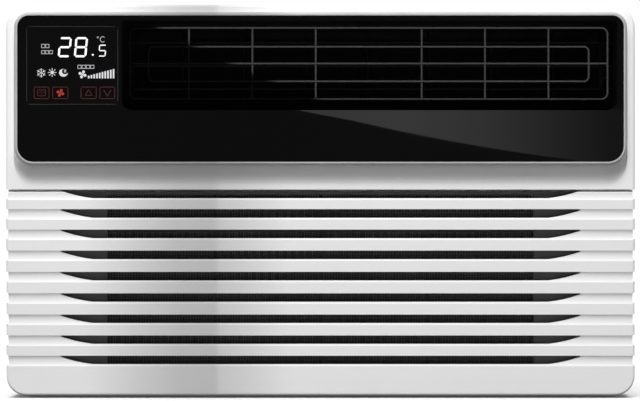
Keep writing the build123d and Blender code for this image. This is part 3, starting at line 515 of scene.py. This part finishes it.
def draw_icons(maker):
    """The row of working modes and the fan's speed."""
    add_snowflake(maker, Vector((14.3, 30.3)))
    add_sun(maker, Vector((24.7, 30.7)))
    add_moon(maker, Vector((35.4, 30.4)))
    add_fan_mark(maker, Vector((53.5, 28.9)), 3.9)
    add_speed_bars(maker, 58.6, 25.1)


# Touch keys: left edges and widths in millimetres, all in one row.
keys = ((7.5, 14.2), (25.2, 14.5), (52.1, 14.4), (70.0, 14.1))
key_low, key_height, key_corner = 5.85, 11.0, 0.9


def key_centre(index):
    left, width = keys[index]
    return Vector((left + width / 2, key_low + key_height / 2))


def draw_key_rings(maker):
    """Rounded frames of the touch keys."""
    for left, width in keys:
        add_stroke(maker, rounded_frame(left, key_low, width, key_height, key_corner, 3), 0.42, closed=True)


def add_book(maker, centre):
    """An open book: two pages, each with a short line."""
    for side in (-1, 1):
        page = ((0, -3.0), (side * 3.8, -2.4), (side * 3.8, 3.2), (0, 2.6))
        add_stroke(maker, [centre + Vector(p) for p in page], 0.55, closed=True)
        line = ((side * 1.2, 0.4), (side * 2.7, 0.8))
        add_stroke(maker, [centre + Vector(p) for p in line], 0.5)


def draw_key_marks(maker):
    """The mode key's book, the up key's triangle and the down key's chevron."""
    add_book(maker, key_centre(0))
    arrow = [Vector(p) for p in ((-3.2, -2.4), (0, 3.2), (3.2, -2.4))]
    add_stroke(maker, [key_centre(2) + p for p in arrow], 0.55, closed=True)
    add_stroke(maker, [key_centre(3) + Vector((p.x, -p.y)) for p in arrow], 0.6)


def draw_key_fan(maker):
    """The lit fan on the second key."""
    add_fan_mark(maker, key_centre(1), 3.8)


def draw_window_rim(maker):
    """Hairline round the display window."""
    edge, corner = 0.5, 2.4
    rim = rounded_frame(edge, edge, ink_width - 2 * edge, ink_height - 2 * edge, corner, 4)
    add_stroke(maker, rim, 0.8, closed=True)


for name, drawing, ink in (
    ("display_numbers", draw_numbers, lit("lit_white", (0.9, 0.91, 0.93), 0.8)),
    ("display_icons", draw_icons, lit("lit_icons", (0.6, 0.6, 0.62), 0.8)),
    ("small_lamps", draw_small_lamps, lit("lit_small", (0.42, 0.42, 0.43), 0.8)),
    ("key_rings", draw_key_rings, lit("dim_red", (0.085, 0.015, 0.019), 0.75)),
    ("key_marks", draw_key_marks, lit("dim_rose", (0.05, 0.009, 0.009), 0.75)),
    ("key_fan", draw_key_fan, lit("lit_red", (0.33, 0.03, 0.016), 0.85)),
    ("window_rim", draw_window_rim, moulded("hairline_ink", (0.0105, 0.011, 0.011), 0.45)),
):
    piece(name, drawing, "chassis", "lens", ink)


# ---------------------------------------------------------------- coils: real fins and tubes
fin_pitch, fin_thickness = 1.9 * mm, 0.25 * mm
tube_pitch, tube_radius, row_inset = 25.4 * mm, 4.2 * mm, 12 * mm


def draw_coil(low, high, tube_start, tube_count):
    """Fin plates across the block, and two rows of copper tubes through them."""

    def fins(maker):
        count = int((high.x - low.x) / fin_pitch)
        for index in range(count + 1):
            x = low.x + (high.x - low.x - fin_thickness) * index / count
            add_box(maker, (x, low.y, low.z), (x + fin_thickness, high.y, high.z))

    def tubes(maker):
        for row_y in (low.y + row_inset, high.y - row_inset):
            for index in range(tube_count):
                z = low.z + tube_start + index * tube_pitch
                add_tube(maker, (low.x, row_y, z), (high.x, row_y, z), tube_radius)

    return fins, tubes


for coil, tube_start, tube_count in (("evaporator", 22 * mm, 8), ("condenser", 24 * mm, 12)):
    low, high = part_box(coil + "_fins")
    fins, tubes = draw_coil(low, high, tube_start, tube_count)
    piece(coil + "_fin_stack", fins, "chassis", "fin_aluminium", replaces=(coil + "_fins",))
    piece(coil + "_through_tubes", tubes, "chassis", "copper")


# ---------------------------------------------------------------- filter net
net_low, net_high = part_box("filter_mesh")


def draw_net(maker):
    """Woven threads, the upright ones in front of the level ones."""
    pitch = 1.5 * mm
    thread = 1.05 * mm
    centre_y = (net_low.y + net_high.y) / 2
    for index in range(int((net_high.x - net_low.x) / pitch)):
        x = net_low.x + index * pitch
        add_box(maker, (x, net_low.y, net_low.z), (x + thread, centre_y, net_high.z))
    for index in range(int((net_high.z - net_low.z) / pitch)):
        z = net_low.z + index * pitch
        add_box(maker, (net_low.x, centre_y, z), (net_high.x, net_high.y, z + thread))


piece("filter_net", draw_net, "grille", "filter_net", replaces=("filter_mesh",))


# ---------------------------------------------------------------- stage helpers
def stage_shape(name, corners, faces, material):
    """A thing that belongs to the stage, not to the object."""
    mesh = bpy.data.meshes.new(name)
    mesh.from_pydata(corners, [], faces)
    shape = bpy.data.objects.new(name, mesh)
    bpy.context.scene.collection.objects.link(shape)
    mesh.materials.append(material)
    return shape


def stage_plane(name, corners, material):
    """A flat piece of the stage with one face."""
    return stage_shape(name, corners, [tuple(range(len(corners)))], material)


def shadow_only(shape):
    """A card that shades lights and is otherwise not there."""
    shape.visible_camera = False
    shape.visible_diffuse = False
    shape.visible_glossy = False
    shape.visible_transmission = False


def add_lamp(name, data, place, aim):
    """A lamp at place that shines towards aim and shows in no reflection."""
    lamp = bpy.data.objects.new(name, data)
    lamp.location = place
    lamp.rotation_euler = (Vector(aim) - Vector(place)).to_track_quat("-Z", "Y").to_euler()
    lamp.visible_glossy = False
    lamp.visible_camera = False
    bpy.context.scene.collection.objects.link(lamp)
    return lamp


def softbox(name, place, aim, width, height, watts):
    """A rectangular area light."""
    data = bpy.data.lights.new(name, "AREA")
    data.shape = "RECTANGLE"
    data.size = width
    data.size_y = height
    data.energy = watts
    return add_lamp(name, data, place, aim)


def lights_only(lamp, *shapes):
    """The lamp lights just these shapes."""
    group = bpy.data.collections.new(lamp.name + "_lights")
    for shape in shapes:
        group.objects.link(shape)
    lamp.light_linking.receiver_collection = group


def lights_all_but(lamp, shape):
    """The lamp lights everything except this shape."""
    lights_only(lamp, shape)
    group = lamp.light_linking.receiver_collection
    group.collection_objects[0].light_linking.link_state = "EXCLUDE"


def graded(name, shader_type, low_x, high_x, stops):
    """A gel or a glow with a level that changes across it, at shares of the way from low_x to high_x."""
    material = bpy.data.materials.new(name)
    material.use_nodes = True
    tree = material.node_tree
    tree.nodes.clear()
    output = tree.nodes.new("ShaderNodeOutputMaterial")
    shader = tree.nodes.new(shader_type)
    place = tree.nodes.new("ShaderNodeTexCoord")
    split = tree.nodes.new("ShaderNodeSeparateXYZ")
    span = tree.nodes.new("ShaderNodeMapRange")
    ramp = tree.nodes.new("ShaderNodeValToRGB")
    span.inputs["From Min"].default_value = low_x
    span.inputs["From Max"].default_value = high_x
    for position, level in stops:
        stop = ramp.color_ramp.elements.new(position)
        stop.color = (level, level, level, 1)
    ramp.color_ramp.elements.remove(ramp.color_ramp.elements[0])
    ramp.color_ramp.elements.remove(ramp.color_ramp.elements[-1])
    tree.links.new(place.outputs["Object"], split.inputs["Vector"])
    tree.links.new(split.outputs["X"], span.inputs["Value"])
    tree.links.new(span.outputs["Result"], ramp.inputs["Fac"])
    tree.links.new(ramp.outputs["Color"], shader.inputs["Color"])
    tree.links.new(shader.outputs[0], output.inputs["Surface"])
    return material


def sagging(start_z, slope, bend, share):
    """Height of a curve that sags from start_z, at a share of the width to the right of the middle."""
    return start_z + slope * share + bend * share * share


# ---------------------------------------------------------------- floor
floor_paint = Paint("floor_paint", (0.86, 0.86, 0.86), 0.6)
floor_paint.mottle(floor_paint.noise(2), 0.01)
floor_half = 12.0
floor_z = -0.2 * mm
floor_outline = (
    (-floor_half, -floor_half),
    (floor_half, -floor_half),
    (floor_half, floor_half),
    (-floor_half, floor_half),
)
floor = stage_plane("floor", [(x, y, floor_z) for x, y in floor_outline], floor_paint.material)
floor.visible_diffuse = False

# ---------------------------------------------------------------- lights
middle = (cad_low + cad_high) / 2
front_y = front_low.y
ribbed_door = nodes["intake_grille"]


def add_soft_lights():
    """The key and two fills. The ribbed door has a weaker key and a light from straight ahead."""
    key_place = (-1.6, -5.0, 6.1)
    key = softbox("key", key_place, middle, width=3.6, height=2.8, watts=335)
    lights_all_but(key, ribbed_door)
    softbox("left_fill", (-2.6, -0.6, 1.2), middle, width=1.2, height=1.2, watts=8)
    softbox("back_fill", (0.6, 3.0, 1.6), middle, width=2.2, height=1.6, watts=20)
    door_key = softbox("door_key", key_place, middle, width=3.6, height=2.8, watts=190)
    lights_only(door_key, ribbed_door)
    door_front = softbox("door_front", (0, -5.0, 0.15), middle, width=2.0, height=2.0, watts=38)
    lights_only(door_front, ribbed_door)


def add_case_lights():
    """Lights for the sleeve's sides and top alone."""
    case_sides = [nodes[name] for name in ("case_left", "case_right", "cabinet_screws")]
    right_fill = softbox("right_fill", (2.8, 1.6, 1.4), middle, width=1.6, height=1.6, watts=45)
    lights_only(right_fill, *case_sides)
    top_fill = softbox("top_fill", (0.3, 0.6, 3.0), middle, width=1.8, height=1.8, watts=45)
    lights_only(top_fill, nodes["case_top"], *case_sides)


def add_overhead():
    """A light from straight above that brightens the floor."""
    data = bpy.data.lights.new("overhead", "SUN")
    data.energy = 3.3
    data.angle = 0.5
    overhead = add_lamp("overhead", data, (0, 0, 3), (0, 0, 0))
    lights_only(overhead, floor)


def add_strip():
    """Upright strip light behind a graded gel, for the soft band down the front."""
    strip_y = front_y - 2.0
    low, high = 2.2, 4.6
    centre_z = (low + high) / 2
    place, aim = (0, strip_y, centre_z), (0, 0, centre_z)
    strip = softbox("strip", place, aim, width=0.06 * mm, height=high - low, watts=250)
    lights_only(strip, nodes["front_panel"], ribbed_door, nodes["panel_trim"])
    gel_gap = 30 * mm
    gel_scale = gel_gap / (front_y - strip_y)
    gel_half = 0.45 * gel_scale
    gel_low = low - 0.1
    # From the left end to the middle of the front, as a share of that width.
    stops = ((0.25, 1.0), (0.43, 0.55), (0.55, 0.3), (0.668, 0.26), (0.676, 0.48), (0.75, 0.62), (0.9, 1.0))
    stuff = graded("graded_gel", "ShaderNodeBsdfTransparent", cad_low.x * gel_scale, 0.0, stops)
    corners = ((-gel_half, gel_low), (gel_half, gel_low), (gel_half, high), (-gel_half, high))
    gel = stage_plane("gel", [(x, strip_y + gel_gap, z) for x, z in corners], stuff)
    shadow_only(gel)


# ---------------------------------------------------------------- guard's lamp and stencil
guard_low, guard_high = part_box("outlet_guard")


def guard_edge(x):
    """Height of the lit part's lower left edge on the guard."""
    share = x / (guard_high.x - guard_low.x)
    return sagging(guard_low.z + 0.6 * mm, -0.161, 0.125, share)


def add_guard_lamp():
    """A small lamp by the camera that lights the guard to the right of a curve cut in a stencil."""
    guard_middle = (guard_low + guard_high) / 2
    data = bpy.data.lights.new("beam", "SPOT")
    data.energy = 3700
    data.spot_size = math.radians(16)
    data.shadow_soft_size = 0.4 * mm
    beam = add_lamp("beam", data, (0.1, front_y - 2.6, 0.55), guard_middle)
    lights_only(beam, nodes["outlet_guard"])
    stencil_share = 0.12

    def on_stencil(x, z):
        """The place on the stencil that shades x, z on the guard."""
        spot = Vector((x, guard_low.y, z))
        return beam.location + (spot - beam.location) * stencil_share

    left, right = guard_low.x + 8 * mm, guard_high.x + 4 * mm
    low, high = guard_low.z - 4 * mm, guard_high.z + 4 * mm
    curve_end = 2 * mm
    margin = 0.6
    steps = 12
    curve_xs = [left + (curve_end - left) * i / steps for i in range(steps + 1)]
    cutout = [on_stencil(x, min(high, guard_edge(x))) for x in curve_xs]
    cutout += [on_stencil(right, guard_edge(curve_end)), on_stencil(right, high)]
    border = [
        on_stencil(left, low - margin),
        on_stencil(right + margin, low - margin),
        on_stencil(right + margin, high + margin),
        on_stencil(left - margin, high + margin),
        on_stencil(left - margin, low - margin),
    ]
    count = len(cutout)
    faces = [
        (*range(0, count - 2), count - 2, count + 1, count),
        (count - 2, count - 1, count + 2, count + 1),
        (count - 1, 0, count + 3, count + 2),
        (0, count, count + 4, count + 3),
    ]
    stencil = stage_shape("stencil", [*cutout, *border], faces, floor_paint.material)
    shadow_only(stencil)


# ---------------------------------------------------------------- reflection card
def add_card():
    """A glowing card behind the camera, which only reflections see. Its curved edge shows in the glass."""
    glass_low, glass_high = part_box("glass_panel")
    gap = view_distance + 0.35
    spread = 1 + gap / view_distance

    def mirrored(x, z):
        """Where a reflection seen at x, z on the glass comes from, on the card's plane."""
        return (eye.x + (x - eye.x) * spread, glass_low.y - gap, eye.z + (z - eye.z) * spread)

    def lower_edge(x):
        """Height of the card's lower edge, as reflected in the glass."""
        share = x / (glass_high.x - glass_low.x)
        return sagging(glass_low.z + 46.6 * mm, -0.143, 0.086, share)

    stops = ((0.5, 0.8), (0.64, 0.87), (0.77, 0.65), (0.9, 0.28), (0.98, 0.1))
    glow = graded("card_glow", "ShaderNodeEmission", glass_low.x * spread, glass_high.x * spread, stops)
    left, right = glass_low.x * 0.09, glass_high.x * 1.25
    top = max(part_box("outlet_frame")[0].z, glass_low.z + 50 * mm)
    steps = 24
    curve_xs = [left + (right - left) * i / steps for i in range(steps + 1)]
    outline = [mirrored(x, lower_edge(x)) for x in curve_xs]
    outline += [mirrored(right, top), mirrored(left, top)]
    card = stage_plane("card", outline, glow)
    card.visible_camera = False
    card.visible_diffuse = False
    card.visible_transmission = False
    card.visible_shadow = False


# ---------------------------------------------------------------- world
def add_world():
    """White to the eye, faint for diffuse light, and dark in front and pale behind for reflections."""
    world = bpy.data.worlds.new("world")
    bpy.context.scene.world = world
    world.use_nodes = True
    tree = world.node_tree
    tree.nodes.clear()

    def background(level):
        node = tree.nodes.new("ShaderNodeBackground")
        node.inputs["Color"].default_value = (1, 1, 1, 1)
        node.inputs["Strength"].default_value = level
        return node

    output = tree.nodes.new("ShaderNodeOutputWorld")
    path = tree.nodes.new("ShaderNodeLightPath")
    seen = background(1.0)
    around = background(0.1)
    mirror_back = background(1.0)
    place = tree.nodes.new("ShaderNodeTexCoord")
    split = tree.nodes.new("ShaderNodeSeparateXYZ")
    span = tree.nodes.new("ShaderNodeMapRange")
    fade = tree.nodes.new("ShaderNodeValToRGB")
    span.inputs["From Min"].default_value = -1.0
    for stop, position, level in zip(fade.color_ramp.elements, (0.03, 0.6), (0.02, 0.75)):
        stop.position = position
        stop.color = (level, level, level, 1)
    tree.links.new(place.outputs["Generated"], split.inputs["Vector"])
    tree.links.new(split.outputs["Y"], span.inputs["Value"])
    tree.links.new(span.outputs["Result"], fade.inputs["Fac"])
    tree.links.new(fade.outputs["Color"], mirror_back.inputs["Color"])
    to_mirror = tree.nodes.new("ShaderNodeMixShader")
    to_eye = tree.nodes.new("ShaderNodeMixShader")
    tree.links.new(path.outputs["Is Glossy Ray"], to_mirror.inputs["Fac"])
    tree.links.new(around.outputs["Background"], to_mirror.inputs[1])
    tree.links.new(mirror_back.outputs["Background"], to_mirror.inputs[2])
    tree.links.new(path.outputs["Is Camera Ray"], to_eye.inputs["Fac"])
    tree.links.new(to_mirror.outputs["Shader"], to_eye.inputs[1])
    tree.links.new(seen.outputs["Background"], to_eye.inputs[2])
    tree.links.new(to_eye.outputs["Shader"], output.inputs["Surface"])


add_soft_lights()
add_case_lights()
add_overhead()
add_strip()
add_guard_lamp()
add_card()
add_world()
bpy.context.scene.view_settings.view_transform = "Standard"
